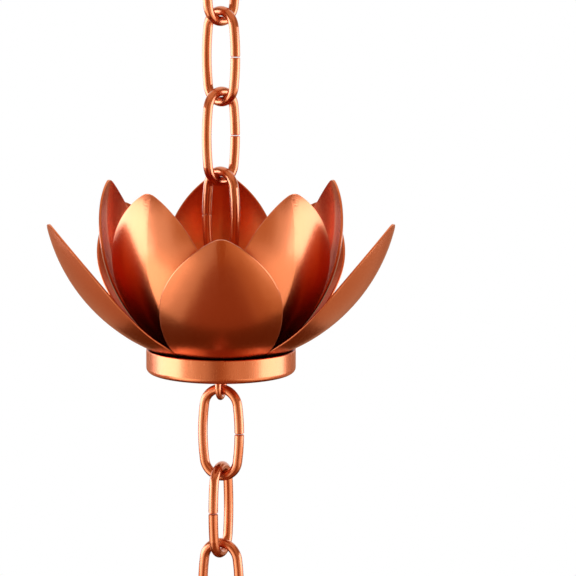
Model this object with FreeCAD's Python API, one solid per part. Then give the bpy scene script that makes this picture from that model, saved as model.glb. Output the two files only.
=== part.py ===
import FreeCAD, Part
import math
import os

from FreeCAD import Placement, Rotation, Vector

# A length of rain chain: one lotus cup with the links above and below it.
# The origin is where a hook bears in the top link, and the chain hangs down from it along -Z.
# Sizes are in millimetres, angles in degrees. A turn is counted about +Z: a piece at turn 0
# has its width along X, and a petal at turn 0 points to -Y.

# Chain links
link_wire = 3.2
link_length = 33.0
link_width = 16.5
leg_bow = 0.6
seam_gap = 0.3
seam_chamfer = 0.25
swing_gap = 0.2
upper_turns = [45, -45, 45, 135, 75]
lower_turns = [-23, 247, 157, 67]

# Base pan
pan_diameter = 50.0
pan_height = 8.0
pan_sheet = 0.9
pan_edge_radius = 1.8
pan_rim_round = 0.3
seat_gap = 0.06

# Petal stars
petal_count = 5
petal_sheet = 0.8
petal_edge_round = 0.3
petal_width = 39.9
petal_root_width = 7.4
petal_root_length = 17.5
petal_tip_width = 0.9
petal_tip_radius = 4.0
petal_belly = 0.46
petal_keel = 7.0
petal_keel_radius = 12.0
petal_root_keel = 0.3
petal_stations = [0, 0.12, 0.26, 0.42, 0.58, 0.72, 0.84, 0.93]
petal_tip_stations = [1, 0.45, 0.15, 0]
hub_plate = 1.3
hub_flat = 7.0
hub_bend = 5.0
hub_level = 2.0
rim_gap = 0.65
root_tuck = 1.5
outer_neck_width = 31.0
outer_run = 15.5
outer_curve = 62.6
outer_tip_slope = 77.3
outer_cup_radius = 48.0
inner_neck_width = 27.0
inner_run = 1.4
inner_curve = 51.5
inner_tip_slope = 103.6
inner_cup_radius = 40.0

# Eye pins
eye_wire = 2.0
eye_width = 9.6
eye_leg_spread = 3.2
eye_neck_bend = 1.2
eye_leg_bend = 1.3
eye_leg_reach = 5.6
eye_hole_play = 0.3
upper_eye_height = 11.3
lower_eye_height = 9.6
lower_eye_turn = 75
quarter_turn = 90

link_space = link_length - 2 * link_wire
link_pitch = link_space - swing_gap
pin_hole = eye_leg_spread + eye_wire + 2 * eye_hole_play
layer_pitch = hub_plate + seat_gap
pan_stack = pan_sheet + 2 * layer_pitch
rim_reach = pan_diameter / 2 - hub_flat
rim_rise = pan_height - pan_sheet - seat_gap - hub_plate / 2 - hub_bend
rim_miss = hub_bend + petal_sheet / 2 + rim_gap
hub_slope = math.atan2(rim_rise, rim_reach) + math.asin(rim_miss / math.hypot(rim_rise, rim_reach))


def arc_pipe(centre, radius, start, end, wire):
    """Round wire bent along an arc in the XZ plane, between two angles in radians."""
    spoke = Vector(math.cos(start), 0, math.sin(start))
    along = Vector(-spoke.z, 0, spoke.x)
    disc = Part.Face(Part.Wire(Part.makeCircle(wire / 2, centre + spoke * radius, along)))
    return disc.revolve(centre, Vector(0, -1, 0), math.degrees(end - start))


def straight_pipe(start, end, wire):
    """Round wire along a straight stretch."""
    return Part.makeCylinder(wire / 2, (end - start).Length, start, end - start)


def joined(stretches):
    """One solid from stretches of wire that meet face to face."""
    return stretches[0].multiFuse(stretches[1:]).removeSplitter().Solids[0]


def link():
    """An oval link in the XZ plane about the origin, with a butt seam halfway up its +X leg."""
    bow_radius = (link_width - link_wire) / 2 - leg_bow
    bow_height = (link_length - link_wire) / 2 - bow_radius
    leg_offset = (bow_height ** 2 - leg_bow ** 2) / (2 * leg_bow)
    leg_radius = leg_offset + leg_bow + bow_radius
    meet = math.atan2(bow_height, leg_offset)
    cut = math.asin(seam_gap / 2 / leg_radius)
    half_turn = math.pi
    turn = 2 * math.pi
    top = Vector(0, 0, bow_height)
    leg = Vector(leg_offset, 0, 0)
    wire = joined([
        arc_pipe(-leg, leg_radius, cut, meet, link_wire),
        arc_pipe(top, bow_radius, meet, half_turn - meet, link_wire),
        arc_pipe(leg, leg_radius, half_turn - meet, half_turn + meet, link_wire),
        arc_pipe(-top, bow_radius, half_turn + meet, turn - meet, link_wire),
        arc_pipe(-leg, leg_radius, turn - meet, turn - cut, link_wire),
    ])
    ends = [face for face in wire.Faces if isinstance(face.Surface, Part.Plane)]
    return wire.makeChamfer(seam_chamfer, [edge for face in ends for edge in face.Edges])


def eye_pin(height):
    """A wire eye that stands on z = 0, with two legs through the pan's stack, splayed under it."""
    eye_radius = (eye_width - eye_wire) / 2
    eye = Vector(0, 0, height - eye_wire / 2 - eye_radius)
    leg = eye_leg_spread / 2
    neck_drop = math.sqrt((eye_radius + eye_neck_bend) ** 2 - (leg + eye_neck_bend) ** 2)
    neck = Vector(leg + eye_neck_bend, 0, eye.z - neck_drop)
    lean = math.atan2(neck_drop, neck.x)
    foot = -pan_stack - seat_gap - eye_wire / 2
    bend = Vector(leg + eye_leg_bend, 0, foot + eye_leg_bend)
    half = [
        arc_pipe(neck, eye_neck_bend, math.pi - lean, math.pi, eye_wire),
        straight_pipe(Vector(leg, 0, bend.z), Vector(leg, 0, neck.z), eye_wire),
        arc_pipe(bend, eye_leg_bend, math.pi, 1.5 * math.pi, eye_wire),
        straight_pipe(Vector(bend.x, 0, foot), Vector(eye_leg_reach, 0, foot), eye_wire),
    ]
    other_half = [stretch.mirror(Vector(), Vector(1, 0, 0)) for stretch in half]
    return joined([arc_pipe(eye, eye_radius, -lean, math.pi + lean, eye_wire)] + half + other_half)


def base_pan():
    """A drawn pan with the underside of its floor on z = 0."""
    def rounded_drum(radius, floor, edge):
        drum = Part.makeCylinder(radius, pan_height, Vector(0, 0, floor))
        low = [rim for rim in drum.Edges if rim.BoundBox.ZMax < floor + pan_height / 2]
        return drum.makeFillet(edge, low)

    outside = rounded_drum(pan_diameter / 2, 0, pan_edge_radius)
    inside = rounded_drum(pan_diameter / 2 - pan_sheet, pan_sheet, pan_edge_radius - pan_sheet)
    pan = outside.cut(inside).cut(Part.makeCylinder(pin_hole / 2, pan_height))
    return pan.makeFillet(pan_rim_round, [rim for rim in pan.Edges if rim.BoundBox.ZMin > pan_height / 2])


def petal_belly_length(tip):
    """How far along a flat petal it is widest."""
    return petal_root_length + (tip - petal_root_length) * petal_belly


def petal_side_radius(tip):
    """Radius of the arc that runs from a petal's belly into its rounded tip."""
    reach = tip - petal_belly_length(tip)
    return ((reach ** 2 + petal_width ** 2 / 4 - 2 * reach * petal_tip_radius)
            / (petal_width - 2 * petal_tip_radius))


def petal_tip_depth(tip):
    """How far from the end of a petal its rounded tip begins."""
    reach = tip - petal_belly_length(tip)
    radius = petal_side_radius(tip)
    return reach - radius * (reach - petal_tip_radius) / (radius - petal_tip_radius)


def petal_half_width(length, tip, neck_width):
    """Half the width of a flat petal: straight root, round belly, then two arcs to a rounded tip."""
    neck = petal_root_length
    if length < neck:
        share = (length + root_tuck) / (neck + root_tuck)
        return (petal_root_width + (neck_width - petal_root_width) * share) / 2
    belly = petal_belly_length(tip)
    if length < belly:
        rise = (petal_width - neck_width) / 2
        radius = ((belly - neck) ** 2 + rise ** 2) / (2 * rise)
    elif length < tip - petal_tip_depth(tip):
        radius = petal_side_radius(tip)
    else:
        across = petal_tip_radius ** 2 - (length - tip + petal_tip_radius) ** 2
        return max(petal_tip_width / 2, math.sqrt(max(across, 0)))
    return petal_width / 2 - radius + math.sqrt(radius ** 2 - (length - belly) ** 2)


def petal_section(point, slope, half_width, bend, keel):
    """Outline across a petal: a soft keel between two arcs on each face, and rounded edges."""
    inward = Vector(0, math.sin(slope), math.cos(slope))
    far = keel + (half_width - petal_keel_radius * keel) / bend
    shift = petal_keel_radius - bend

    def spot(out, depth):
        return point + Vector(out, 0, 0) + inward * depth

    def keel_spot(offset, angle):
        radius = petal_keel_radius - offset
        return spot(radius * math.sin(angle), petal_keel_radius - radius * math.cos(angle))

    def flank_spot(offset, angle, side):
        radius = bend - offset
        out = shift * math.sin(keel) + radius * math.sin(angle)
        return spot(out * side, petal_keel_radius - shift * math.cos(keel) - radius * math.cos(angle))

    def keel_arc(offset, side):
        return Part.Arc(*[keel_spot(offset, angle * side) for angle in (-keel, 0, keel)]).toShape()

    def flank(offset, side, start, end):
        angles = (start, (start + end) / 2, end)
        return Part.Arc(*[flank_spot(offset, angle, side) for angle in angles]).toShape()

    def edge(start, end, side):
        crest = flank_spot(0, far + petal_edge_round / bend, side)
        return Part.Arc(flank_spot(start, far, side), crest, flank_spot(end, far, side)).toShape()

    under = -petal_sheet / 2
    over = petal_sheet / 2
    return Part.Wire([
        flank(under, -1, far, keel),
        keel_arc(under, 1),
        flank(under, 1, keel, far),
        edge(under, over, 1),
        flank(over, 1, far, keel),
        keel_arc(over, -1),
        flank(over, -1, keel, far),
        edge(over, under, -1),
    ])


def petal(neck_width, run, curve, tip_slope, cup_radius):
    """One petal pointing to -Y, its sheet starting level inside the hub plate on z = 0."""
    rise = hub_slope
    fold = hub_bend * rise
    lift = fold + run
    tip = lift + curve * (tip_slope - rise)
    foot = Vector(0, -hub_flat - hub_bend * math.sin(rise), hub_bend * (1 - math.cos(rise)))
    top = foot + Vector(0, -math.cos(rise), math.sin(rise)) * run

    def middle(length):
        if length < 0:
            return Vector(0, -hub_flat - length, 0), 0
        if length < fold:
            slope = length / hub_bend
            return Vector(0, -hub_flat - hub_bend * math.sin(slope),
                          hub_bend * (1 - math.cos(slope))), slope
        if length < lift:
            return foot + Vector(0, -math.cos(rise), math.sin(rise)) * (length - fold), rise
        slope = rise + (length - lift) / curve
        return top + Vector(0, math.sin(rise) - math.sin(slope),
                            math.cos(rise) - math.cos(slope)) * curve, slope

    neck = petal_root_length
    low = [-root_tuck, 0, fold / 2, fold, (fold + neck) / 2]
    high = [neck + (tip - neck) * share for share in petal_stations]
    end = [tip - petal_tip_depth(tip) * share for share in petal_tip_stations]
    sections = []
    for length in low + high + end:
        point, slope = middle(length)
        bowl = -point.y / math.sin(max(slope, math.radians(hub_level)))
        risen = max(0, (length - neck) / (tip - neck))
        keel = math.radians(petal_root_keel + (petal_keel - petal_root_keel) * risen ** 2)
        half_width = petal_half_width(length, tip, neck_width)
        keel = min(keel, half_width / 2 / petal_keel_radius)
        bend = bowl if length < fold else min(bowl, cup_radius)
        sections.append(petal_section(point, slope, half_width, bend, keel))
    return Part.makeLoft(sections, True)


def petal_star(neck_width, run, curve, tip_slope, cup_radius, first_turn):
    """A star of petals round a hub plate, with the plate's underside on z = 0."""
    plate = Part.makeCylinder(hub_flat + root_tuck / 2, hub_plate, Vector(0, 0, -hub_plate / 2))
    first = petal(neck_width, run, curve, tip_slope, cup_radius)
    petals = []
    for index in range(petal_count):
        turn = first_turn + index * 360 / petal_count
        petals.append(first.rotated(Vector(), Vector(0, 0, 1), turn))
    star = plate.multiFuse(petals)
    star = star.cut(Part.makeCylinder(pin_hole / 2, 2 * hub_plate, Vector(0, 0, -hub_plate)))
    return star.translated(Vector(0, 0, hub_plate / 2))


def placed(shape, height, turn=0, tilt=0):
    """A copy of a shape turned upside down if tilt is 180, then turned about Z and raised."""
    turned = Rotation(Vector(0, 0, 1), turn) * Rotation(Vector(1, 0, 0), tilt)
    copy = shape.copy()
    copy.Placement = Placement(Vector(0, 0, height), turned) * shape.Placement
    return copy


def build():
    """All the pieces by name, hung from the origin."""
    nodes = {}
    one_link = link()
    centre = -link_space / 2
    for number, turn in enumerate(upper_turns, 1):
        nodes[f"upper_link_{number}"] = placed(one_link, centre - (number - 1) * link_pitch, turn)
    bow = centre - (len(upper_turns) - 1) * link_pitch - link_space / 2
    plate_top = bow + swing_gap + eye_wire - upper_eye_height
    floor = plate_top - pan_stack
    nodes["base_pan"] = placed(base_pan(), floor)
    outer = petal_star(outer_neck_width, outer_run, outer_curve, math.radians(outer_tip_slope),
                       outer_cup_radius, 0)
    nodes["outer_petals"] = placed(outer, floor + pan_sheet + seat_gap)
    half_step = 180 / petal_count
    inner = petal_star(inner_neck_width, inner_run, inner_curve, math.radians(inner_tip_slope),
                       inner_cup_radius, half_step)
    nodes["inner_petals"] = placed(inner, floor + pan_sheet + seat_gap + layer_pitch)
    nodes["upper_eye_pin"] = placed(eye_pin(upper_eye_height), plate_top, lower_eye_turn - quarter_turn)
    nodes["lower_eye_pin"] = placed(eye_pin(lower_eye_height), floor, lower_eye_turn, 180)
    first_centre = floor - lower_eye_height + eye_wire + swing_gap - link_space / 2
    for number, turn in enumerate(lower_turns, 1):
        nodes[f"lower_link_{number}"] = placed(one_link, first_centre - (number - 1) * link_pitch, turn)
    return nodes


os.makedirs("parts", exist_ok=True)
for name, shape in build().items():
    print(name, shape.isValid(), len(shape.Solids), round(shape.Volume, 1), shape.BoundBox)
    shape.exportStep(f"parts/{name}.step")
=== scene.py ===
# %% [markdown]
# # A rain chain with a lotus cup
# A rain chain hangs from a gutter in place of a downpipe, and water runs down its links from cup
# to cup. This lesson dresses the solids of one cup and its links: three copper finishes, a studio
# and a camera.
# The solids come in as a fixed frame, in metres, with +Z up and the chain hanging from the origin.
# They already have every form of the object, so nothing is modelled here, and no solid changes its
# shape or place.

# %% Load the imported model
import math

import bpy
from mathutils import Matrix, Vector

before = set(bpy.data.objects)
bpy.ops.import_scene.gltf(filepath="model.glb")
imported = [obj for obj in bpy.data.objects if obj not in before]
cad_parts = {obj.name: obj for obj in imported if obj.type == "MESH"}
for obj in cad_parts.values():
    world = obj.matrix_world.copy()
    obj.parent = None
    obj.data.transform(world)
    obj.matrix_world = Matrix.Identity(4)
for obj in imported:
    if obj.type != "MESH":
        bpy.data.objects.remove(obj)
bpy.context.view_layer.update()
MM = 0.001
print("pieces:", sorted(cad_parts))

# %% [markdown]
# ## Small helpers
# Colours are written as the hex values seen on a screen and turned to the linear values that
# shaders use. One function adds a node, sets it and links its inputs, so every material below
# reads as a short list.

# %% Helpers for colours and nodes
# A Mix node has sockets for several kinds of data; these are the numbers of its colour sockets.
MIX_FIRST, MIX_SECOND, MIX_RESULT = 6, 7, 2


def linear(hex_code):
    """A hex colour as linear red, green, blue and alpha."""
    shares = [int(hex_code[i:i + 2], 16) / 255 for i in (1, 3, 5)]
    return [s / 12.92 if s <= 0.04045 else ((s + 0.055) / 1.055) ** 2.4 for s in shares] + [1.0]


def add_node(tree, kind, inputs=None, **settings):
    """A node with its settings; an input is a value, or an output socket to link from."""
    node = tree.nodes.new(kind)
    for name, value in settings.items():
        setattr(node, name, value)
    for name, value in (inputs or {}).items():
        if isinstance(value, bpy.types.NodeSocket):
            tree.links.new(value, node.inputs[name])
        else:
            node.inputs[name].default_value = value
    return node


def new_material(name):
    """An empty node material, its tree and its output node."""
    material = bpy.data.materials.new(name)
    material.use_nodes = True
    material.node_tree.nodes.clear()
    return material, material.node_tree, add_node(material.node_tree, "ShaderNodeOutputMaterial")


print("mid grey in linear values:", [round(v, 3) for v in linear("#808080")])

# %% [markdown]
# ## Copper sheet
# Petals and pan are pressed from copper sheet with a satin face.
# The eye sees four things on it:
# - broad soft patches, a little lighter or darker, from rolling and handling;
# - a fine grain that makes the gloss uneven, and on the pan a brushed sheen;
# - painted shade: a deeper red where the sheet is sheltered, between the petals and down in the
#   cup;
# - painted shade: a brown that is nearly black in the tightest corners, where two sheets meet.
#
# The last two are painted into the colour from how much open air the surface sees within 80 mm.

# %% Finish of the sheet
OPEN_DARK = "#DA7C4E"
OPEN_LIGHT = "#E48658"
PAINTED_SHADE_RED = "#C4481A"
PAINTED_CORNER_SHADE = "#3A1206"
PAINTED_SHADE_REACH = 80 * MM
# Shares of open air: a place takes the full painted shade at the first value and none at the
# second.
PAINTED_SHADE_AIR = (0.12, 0.75)
PAINTED_CORNER_AIR = (0.02, 0.2)
# Most of a noise lies between these values.
NOISE_RANGE = (0.3, 0.7)
GLOSS_SPREAD = 0.02
GRAIN_DEPTH = 0.05 * MM


def copper_sheet(name, roughness, patch_mm, grain_mm, grain_stretch, bump):
    """Satin copper: tinted by patches, roughened by a stretched grain, with painted shade in
    shelter.
    """
    material, tree, out = new_material(name)
    place = add_node(tree, "ShaderNodeTexCoord").outputs["Object"]
    patches = add_node(tree, "ShaderNodeTexNoise",
                       {"Vector": place, "Scale": 1 / (patch_mm * MM), "Detail": 3.0})
    colour = add_node(tree, "ShaderNodeMix",
                      {"Factor": patches.outputs["Fac"],
                       MIX_FIRST: linear(OPEN_DARK), MIX_SECOND: linear(OPEN_LIGHT)},
                      data_type="RGBA")
    # Painted shade: ambient occlusion turns sheltered places a deeper red and tight corners near
    # black.
    air = add_node(tree, "ShaderNodeAmbientOcclusion", {"Distance": PAINTED_SHADE_REACH}, samples=8)
    for (closed, free), painted_shade in ((PAINTED_SHADE_AIR, PAINTED_SHADE_RED), (PAINTED_CORNER_AIR, PAINTED_CORNER_SHADE)):
        share = add_node(tree, "ShaderNodeMapRange",
                         {"Value": air.outputs["AO"], "From Min": closed, "From Max": free,
                          "To Min": 1.0, "To Max": 0.0})
        colour = add_node(tree, "ShaderNodeMix",
                          {"Factor": share.outputs["Result"],
                           MIX_FIRST: colour.outputs[MIX_RESULT], MIX_SECOND: linear(painted_shade)},
                          data_type="RGBA")
    stretched = add_node(tree, "ShaderNodeMapping", {"Vector": place, "Scale": grain_stretch})
    grain = add_node(tree, "ShaderNodeTexNoise",
                     {"Vector": stretched.outputs["Vector"], "Scale": 1 / (grain_mm * MM),
                      "Roughness": 0.6})
    gloss = add_node(tree, "ShaderNodeMapRange",
                     {"Value": grain.outputs["Fac"],
                      "From Min": NOISE_RANGE[0], "From Max": NOISE_RANGE[1],
                      "To Min": roughness - GLOSS_SPREAD, "To Max": roughness + GLOSS_SPREAD})
    relief = add_node(tree, "ShaderNodeBump",
                      {"Height": grain.outputs["Fac"], "Strength": bump, "Distance": GRAIN_DEPTH})
    metal = add_node(tree, "ShaderNodeBsdfPrincipled",
                     {"Base Color": colour.outputs[MIX_RESULT], "Metallic": 1.0,
                      "Roughness": gloss.outputs["Result"], "Normal": relief.outputs["Normal"]})
    tree.links.new(metal.outputs["BSDF"], out.inputs["Surface"])
    print("made", name)
    return material


# Petals: a fine even satin, so their bands of light stay smooth.
petal_finish = copper_sheet("satin_pressed_copper_sheet", roughness=0.24, patch_mm=18,
                            grain_mm=0.5, grain_stretch=(1.0, 1.0, 0.1), bump=0.015)
# Pan: brushed up and down its wall, which shows as fine upright lines.
pan_finish = copper_sheet("brushed_drawn_copper_pan", roughness=0.26, patch_mm=14,
                          grain_mm=0.5, grain_stretch=(1.0, 1.0, 0.08), bump=0.2)

# %% [markdown]
# ## Copper wire
# Links and eye pins are bent from drawn wire under a clear lacquer.
# The copper gives each wire a saturated core, and the lacquer gives it pale edges, because a
# clear coat mirrors most at a glancing angle.
# Drawing and bending leave soft patches that differ in colour and gloss.

# %% Finish of the wire
WIRE_DARK = "#CE703E"
WIRE_LIGHT = "#DE804E"
WIRE_PATCH = 7 * MM
WIRE_ROUGHNESS = (0.23, 0.28)
LACQUER_COVER = 0.8
LACQUER_ROUGHNESS = 0.12
LACQUER_IOR = 1.5

wire_finish, tree, out = new_material("lacquered_drawn_copper_wire")
place = add_node(tree, "ShaderNodeTexCoord").outputs["Object"]
patches = add_node(tree, "ShaderNodeTexNoise",
                   {"Vector": place, "Scale": 1 / WIRE_PATCH, "Detail": 1.0})
colour = add_node(tree, "ShaderNodeMix",
                  {"Factor": patches.outputs["Fac"],
                   MIX_FIRST: linear(WIRE_DARK), MIX_SECOND: linear(WIRE_LIGHT)},
                  data_type="RGBA")
gloss = add_node(tree, "ShaderNodeMapRange",
                 {"Value": patches.outputs["Fac"],
                  "From Min": NOISE_RANGE[0], "From Max": NOISE_RANGE[1],
                  "To Min": WIRE_ROUGHNESS[0], "To Max": WIRE_ROUGHNESS[1]})
metal = add_node(tree, "ShaderNodeBsdfPrincipled",
                 {"Base Color": colour.outputs[MIX_RESULT], "Metallic": 1.0,
                  "Roughness": gloss.outputs["Result"], "Coat Weight": LACQUER_COVER,
                  "Coat Roughness": LACQUER_ROUGHNESS, "Coat IOR": LACQUER_IOR})
tree.links.new(metal.outputs["BSDF"], out.inputs["Surface"])
print("made", wire_finish.name)

# %% [markdown]
# ## Each piece and its finish
# The pan is brushed, the two stars of petals are satin, and every link and eye pin is wire.

# %% Give each piece its finish
SHEET_FINISHES = {"base_pan": pan_finish,
                  "outer_petals": petal_finish, "inner_petals": petal_finish}

for name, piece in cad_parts.items():
    finish = SHEET_FINISHES.get(name, wire_finish)
    piece.data.materials.clear()
    piece.data.materials.append(finish)
    print(name, "->", finish.name, len(piece.data.polygons), "faces")

# %% [markdown]
# ## Floor
# A plain pale disc lies below the hanging chain. It takes the chain's soft shadow.
# Its paint is quite matt, so that it mirrors none of the studio.

# %% Floor
FLOOR_DROP = 0.33
FLOOR_RADIUS = 0.42

bpy.ops.mesh.primitive_circle_add(vertices=128, radius=FLOOR_RADIUS, fill_type="NGON",
                                  location=(0, 0, -FLOOR_DROP))
floor = bpy.context.object
floor.name = "floor"
floor_finish, tree, out = new_material("pale_matt_painted_floor")
paint = add_node(tree, "ShaderNodeBsdfDiffuse", {"Color": linear("#EFEEEC")})
tree.links.new(paint.outputs["BSDF"], out.inputs["Surface"])
floor.data.materials.append(floor_finish)
print("floor", FLOOR_DROP, "m below the hook")

# %% [markdown]
# ## Studio cards
# Metal shows its surroundings more than its own colour, so the studio matters as much as the
# finish. A photographer shapes such a picture with cards: each is seen in the metal alone, not by
# the camera. Dim cards are warm, as if they were lit by the copper itself, and bright cards are
# neutral. Walls stand round the chain, and mats lie on the floor.

# %% Kinds of card
MAT_LIFT = 0.005
cards = []


def card(name, width, height, place, turn, level, colour):
    """A glowing card that shows only in the metal."""
    bpy.ops.mesh.primitive_plane_add(size=1, location=place, rotation=turn)
    panel = bpy.context.object
    panel.name = name
    panel.scale = (width, height, 1)
    finish, tree, out = new_material(name + "_paint")
    glow = add_node(tree, "ShaderNodeEmission", {"Color": linear(colour), "Strength": level})
    tree.links.new(glow.outputs["Emission"], out.inputs["Surface"])
    panel.data.materials.append(finish)
    panel.visible_camera = False
    panel.visible_diffuse = False
    panel.visible_shadow = False
    cards.append(name)


def wall(name, width, height, distance, degrees, rise, level, colour):
    """An upright card, turned about Z from the camera's side."""
    turn = math.radians(degrees)
    place = Vector((math.sin(turn) * distance, -math.cos(turn) * distance, rise))
    card(name, width, height, place, (math.pi / 2, 0, turn), level, colour)


def mat(name, left, right, near, far, level, colour):
    """A card lying just above the floor, between two sides and two depths."""
    middle = ((left + right) / 2, (near + far) / 2, -FLOOR_DROP + MAT_LIFT)
    card(name, right - left, far - near, middle, (0, 0, 0), level, colour)


print("kinds of card: upright walls and mats", MAT_LIFT, "m above the floor")

# %% [markdown]
# ### Walls and ceiling
# Each line gives a wall's width and height, its distance, its turn from the camera's side in
# degrees, its rise, and the level and colour of its glow.

# %% Walls and ceiling
# The wall behind the camera, with the camera's own dark shape before it.
wall("front_wall", 2.7, 3.6, 1.5, 3, 0, 0.58, "#FFD2AA")
wall("camera_shade", 0.36, 1.6, 1.3, -9, 0, 0.2, "#FFA264")
# White walls behind the chain, for the pale outlines of wire and petals.
wall("back_wall_left", 1.8, 3.0, 1.5, -152, -1.25, 0.95, "#FFFFFF")
wall("back_wall_right", 1.8, 3.0, 1.5, 152, -1.25, 0.95, "#FFFFFF")
# Flags over the lamps and a ceiling, which keep the inside of the cup from being washed out.
wall("left_flag", 2.6, 1.2, 1.35, -92, 0.75, 0.4, "#FFC8A0")
wall("right_flag", 2.6, 1.2, 1.35, 92, 0.75, 0.4, "#FFC8A0")
card("ceiling", 8.0, 4.2, (0, -1.9, 1.3), (0, 0, 0), 0.8, "#FFDCC0")
print(len(cards), "cards:", ", ".join(cards))

# %% [markdown]
# ### Mats
# The leaning petals mirror the floor, so mats draw the bands on them: dim in the middle, bright
# at the sides, dim again behind the chain. Each line gives a mat's left and right side, its near
# and far edge, and the level and colour of its glow.

# %% Mats
# In the middle, in front of the chain and below it.
mat("near_mat", -0.09, 0.08, -0.25, -0.01, 0.31, "#FF9E6C")
mat("far_mat", -0.08, 0.08, -1.3, -0.25, 0.4, "#FFA454")
mat("under_mat", -0.15, 0.15, -0.01, 0.39, 0.12, "#FF8938")
# On the left, for the keel and face of the left inner petal and the front petal's left side.
mat("left_mat", -0.14, -0.09, -0.28, -0.01, 0.8, "#FFF0E4")
mat("left_side_mat", -0.2, -0.14, -0.28, -0.01, 1.4, "#FFF8F2")
mat("left_outer_mat", -0.6, -0.2, -0.28, -0.01, 2.3, "#FFFFFF")
mat("left_middle_mat", -0.25, -0.09, -0.5, -0.28, 0.66, "#FFF0E4")
mat("left_outer_middle_mat", -0.6, -0.25, -0.5, -0.28, 1.3, "#FFFAF4")
mat("left_far_mat", -0.6, -0.28, -1.3, -0.5, 0.95, "#FFF6EE")
mat("left_far_side_mat", -0.28, -0.08, -1.3, -0.5, 0.5, "#FFD8BE")
# On the right, for the same on that side, less bright.
mat("right_mat", 0.08, 0.125, -0.28, -0.01, 0.48, "#FFBE8A")
mat("right_side_mat", 0.125, 0.18, -0.28, -0.01, 0.62, "#FFD2A2")
mat("right_outer_mat", 0.18, 0.6, -0.4, -0.01, 1.45, "#FFFAF4")
mat("right_middle_mat", 0.08, 0.18, -0.5, -0.28, 0.62, "#FFD2A2")
mat("right_outer_middle_mat", 0.18, 0.6, -0.5, -0.4, 1.15, "#FFF6EE")
mat("right_far_mat", 0.2, 0.6, -1.3, -0.5, 0.95, "#FFEEE4")
# Behind the chain, for the outer side petals.
mat("left_back_mat", -0.6, -0.15, -0.01, 0.39, 0.48, "#FFC498")
mat("right_back_mat", 0.15, 0.6, -0.01, 0.39, 0.56, "#FFD2AA")
mat("back_mat", -1.2, 1.2, 0.39, 2.4, 0.46, "#FFC498")
print(len(cards), "cards with the mats")

# %% [markdown]
# ## Lamps
# Two soft boxes left and right draw the bright bands on petals, pan and links.
# They are a cool white, which keeps the highlights on warm copper from turning yellow.

# %% Lamps
LAMP_COLOUR = "#D0E0FF"
LAMP_DISTANCE = 1.2
LAMP_DROP = 0.15
CUP = Vector((0, 0, -0.12))


def soft_box(name, degrees, width, height, power):
    """A large soft lamp beside the chain, a little below the cup and facing it."""
    turn = math.radians(degrees)
    lamp = bpy.data.lights.new(name, "AREA")
    lamp.shape = "RECTANGLE"
    lamp.size = width
    lamp.size_y = height
    lamp.energy = power
    lamp.color = linear(LAMP_COLOUR)[:3]
    box = bpy.data.objects.new(name, lamp)
    box.location = CUP + Vector((math.sin(turn) * LAMP_DISTANCE, -math.cos(turn) * LAMP_DISTANCE,
                                 -LAMP_DROP))
    box.rotation_euler = (CUP - box.location).to_track_quat("-Z", "Y").to_euler()
    bpy.context.scene.collection.objects.link(box)
    print(name, power, "W")


soft_box("soft_box_left", degrees=-97, width=1.6, height=0.8, power=17.5)
soft_box("soft_box_right", degrees=87, width=1.15, height=0.8, power=10.5)

# %% [markdown]
# ## World
# The world is white wherever the camera or the metal sees it, and a little dimmer as light on the
# floor.

# %% World
FLOOR_LIGHT = 0.85

world = bpy.data.worlds.new("white_studio")
bpy.context.scene.world = world
world.use_nodes = True
tree = world.node_tree
tree.nodes.clear()
ray = add_node(tree, "ShaderNodeLightPath")
seen = add_node(tree, "ShaderNodeMath",
                {0: ray.outputs["Is Camera Ray"], 1: ray.outputs["Is Glossy Ray"]},
                operation="MAXIMUM")
seen = add_node(tree, "ShaderNodeMath",
                {0: seen.outputs[0], 1: ray.outputs["Is Transmission Ray"]},
                operation="MAXIMUM")
level = add_node(tree, "ShaderNodeMapRange",
                 {"Value": seen.outputs[0], "To Min": FLOOR_LIGHT, "To Max": 1.0})
sky = add_node(tree, "ShaderNodeBackground",
               {"Color": linear("#FFFFFF"), "Strength": level.outputs["Result"]})
tree.links.new(sky.outputs["Background"],
               add_node(tree, "ShaderNodeOutputWorld").inputs["Surface"])
print("world", world.name)

# %% [markdown]
# ## Camera
# The photograph was taken with a long lens from a little above the cup.
# The lens shift puts the chain left of the middle of the frame, as in the photograph.

# %% Camera
LENS_MM = 161.6
SENSOR_MM = 36.0
CAMERA_BACK = 0.852
CAMERA_RISE = 0.00628
CAMERA_PITCH = math.radians(8.21)
IMAGE_SIZE = 576
CHAIN_COLUMN = 221

eye = bpy.data.cameras.new("photo_camera")
eye.lens = LENS_MM
eye.sensor_width = SENSOR_MM
eye.shift_x = (IMAGE_SIZE / 2 - CHAIN_COLUMN) / IMAGE_SIZE
eye.clip_start = 0.05
camera = bpy.data.objects.new("photo_camera", eye)
camera.location = (0, -CAMERA_BACK, CAMERA_RISE)
camera.rotation_euler = (math.pi / 2 - CAMERA_PITCH, 0, 0)
bpy.context.scene.collection.objects.link(camera)
bpy.context.scene.camera = camera
bpy.context.scene.view_settings.view_transform = "Standard"
print("camera", tuple(round(v, 3) for v in camera.location))
